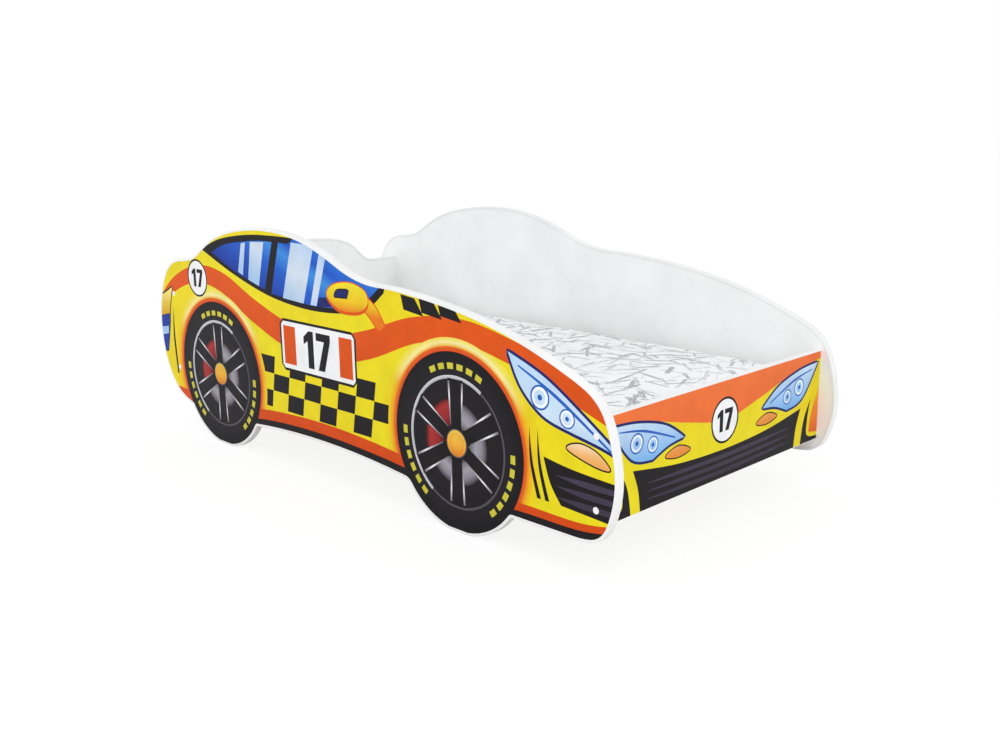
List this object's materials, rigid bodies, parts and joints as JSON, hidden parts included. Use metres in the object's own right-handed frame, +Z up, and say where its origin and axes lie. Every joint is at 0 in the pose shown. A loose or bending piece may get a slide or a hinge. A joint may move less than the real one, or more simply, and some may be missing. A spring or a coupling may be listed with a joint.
{
  "type": "child's car bed",
  "caption": "Child's bed shaped like a racing car: two cut-out side panels with soft edging, front panel, humped headboard, slatted base and loose mattress.",
  "frame": {"origin": "on the floor, under the middle of the bed's bounding box", "axes": "+X to the car's nose (foot of the bed), +Y to the car's left side, +Z up"},
  "size_m": [1.5503, 0.7444, 0.5549],
  "materials": {
    "printed_board": "satin printed film on coated board, white on its inner face",
    "white_board": "satin white melamine board",
    "white_edging": "soft white edging",
    "white_cap": "smooth white",
    "pine": "planed, untreated",
    "webbing": "woven tape",
    "zinc_steel": "zinc plated",
    "mattress_fabric": "white cotton with grey strokes",
    "foam": "open-cell foam"
  },
  "bodies": {
    "root": {"side_panel_right": "printed_board", "side_panel_left": "printed_board", "edge_profile_right": "white_edging", "edge_profile_left": "white_edging", "front_panel": "printed_board", "front_panel_edge_bands": "white_edging", "headboard": "white_board", "headboard_edge_profile": "white_edging", "side_rail_right": "pine", "side_rail_left": "pine", "slat_01": "pine", "slat_02": "pine", "slat_03": "pine", "slat_04": "pine", "slat_05": "pine", "slat_06": "pine", "slat_07": "pine", "slat_08": "pine", "slat_09": "pine", "slat_10": "pine", "slat_11": "pine", "slat_12": "pine", "slat_webbing_right": "webbing", "slat_webbing_left": "webbing", "slat_staples": "zinc_steel", "front_panel_screws": "zinc_steel", "headboard_screws": "zinc_steel", "front_screw_caps": "white_cap", "headboard_screw_caps": "white_cap", "rail_screws": "zinc_steel", "end_slat_screws": "zinc_steel"},
    "mattress": {"mattress_cover": "mattress_fabric", "mattress_foam": "foam"}
  },
  "joints": [
    {"name": "mattress_lift", "type": "slide", "parent": "root", "child": "mattress", "axis": [0, 0, 1], "range_m": [0, 0.4]}
  ]
}
